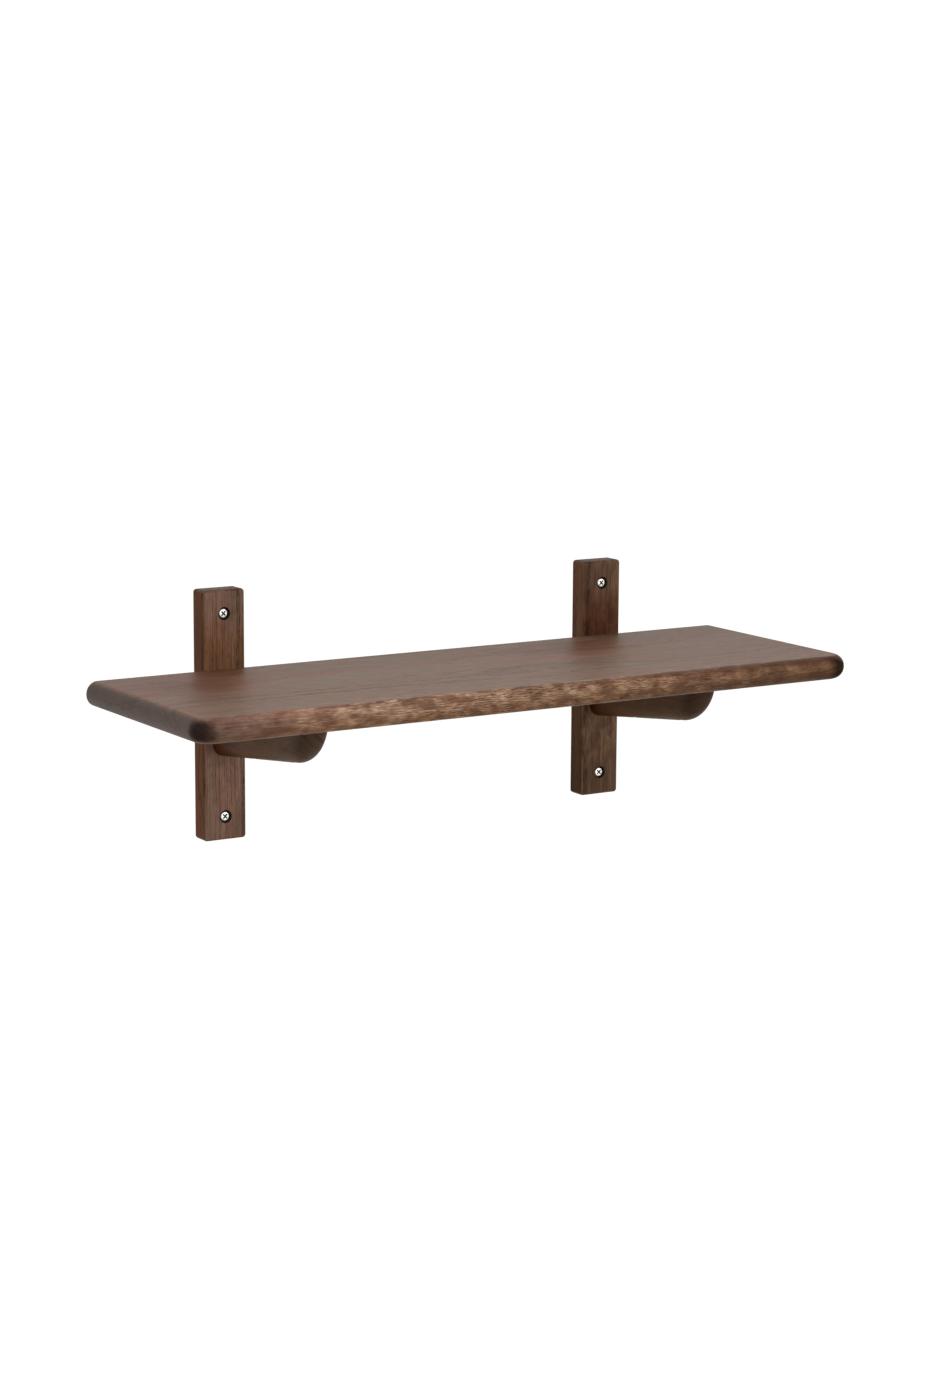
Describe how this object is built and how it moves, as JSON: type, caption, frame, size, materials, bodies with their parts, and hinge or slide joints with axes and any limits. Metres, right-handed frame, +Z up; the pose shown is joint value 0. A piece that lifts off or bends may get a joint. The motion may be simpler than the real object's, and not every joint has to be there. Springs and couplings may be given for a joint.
{
  "type": "wall shelf with brackets",
  "caption": "Dark oak wall shelf: a bullnosed board with rounded front corners on upright bars with tapered, round-nosed arms, screwed to the wall.",
  "frame": {"origin": "on the wall plane, at the centre of the pattern of the wall screws, midway between the uprights", "axes": "+X along the wall to the right as seen from the front, +Y into the wall, +Z up; the front is -Y"},
  "size_m": [0.6, 0.236, 0.202],
  "materials": {
    "board_oak": "dark stained oak, satin lacquer, grain along X",
    "bracket_oak": "dark stained oak, satin lacquer, grain along each piece",
    "screw_zinc": "bright zinc plated steel"
  },
  "bodies": {
    "root": {"shelf_board": "board_oak", "left_upright": "bracket_oak", "left_arm": "bracket_oak", "left_upper_wall_screw": "screw_zinc", "left_lower_wall_screw": "screw_zinc", "left_back_board_screw": "screw_zinc", "left_front_board_screw": "screw_zinc", "left_upper_arm_screw": "screw_zinc", "left_lower_arm_screw": "screw_zinc", "right_upright": "bracket_oak", "right_arm": "bracket_oak", "right_upper_wall_screw": "screw_zinc", "right_lower_wall_screw": "screw_zinc", "right_back_board_screw": "screw_zinc", "right_front_board_screw": "screw_zinc", "right_upper_arm_screw": "screw_zinc", "right_lower_arm_screw": "screw_zinc"}
  },
  "joints": []
}
